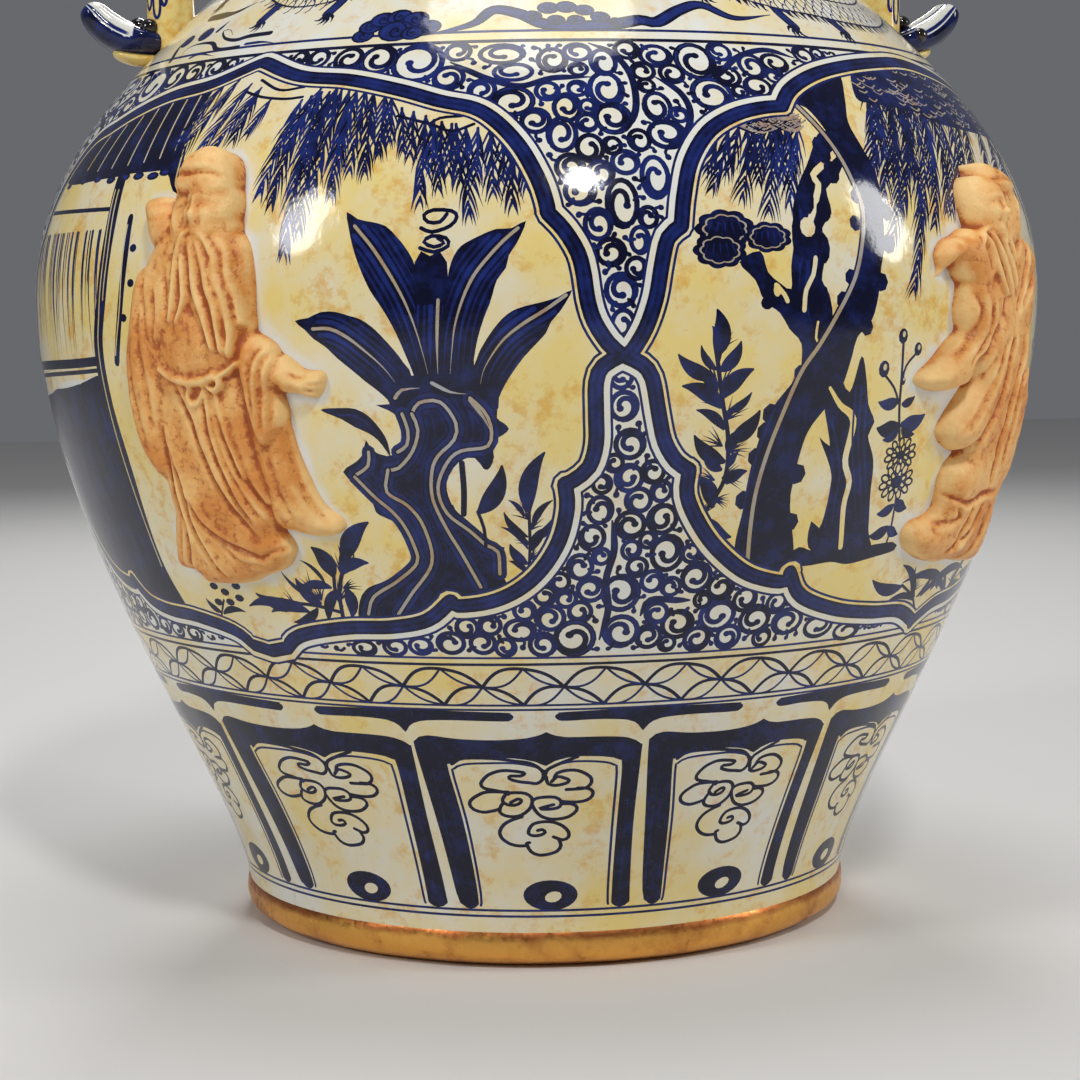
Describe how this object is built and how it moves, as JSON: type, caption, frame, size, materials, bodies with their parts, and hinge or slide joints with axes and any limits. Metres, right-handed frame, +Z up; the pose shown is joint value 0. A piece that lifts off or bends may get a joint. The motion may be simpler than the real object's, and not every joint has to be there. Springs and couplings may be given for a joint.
{
  "type": "two-handled storage jar",
  "caption": "Large shouldered earthenware jar with a rolled lip, beast-headed loop handles, a gilt foot and applied relief figures in painted panels.",
  "frame": {"origin": "centre of the foot ring's standing edge", "axes": "+Z up through the mouth; the handles lie on -X and +X; -Y is the painted front, between two figures"},
  "size_m": [0.3944, 0.3944, 0.446],
  "materials": {
    "glaze": "clear gloss glaze over a cream ground, painted in cobalt blue",
    "cobalt": "glossy dark cobalt blue glaze",
    "biscuit": "matt unglazed orange biscuit",
    "gilt": "burnished gold band over the biscuit foot"
  },
  "bodies": {
    "root": {"foot_ring": "gilt", "base_disc": "glaze", "lower_body": "glaze", "shoulder_section": "glaze", "neck": "glaze", "mouth_rim": "glaze", "right_handle_loop": "glaze", "right_handle_head": "cobalt", "right_handle_jaw": "glaze", "right_handle_eye_1": "cobalt", "right_handle_eye_2": "cobalt", "left_handle_loop": "glaze", "left_handle_head": "cobalt", "left_handle_jaw": "glaze", "left_handle_eye_1": "cobalt", "left_handle_eye_2": "cobalt", "figure_front_left": "biscuit", "figure_front_right": "biscuit", "figure_back_right": "biscuit", "figure_back_left": "biscuit"}
  },
  "joints": []
}
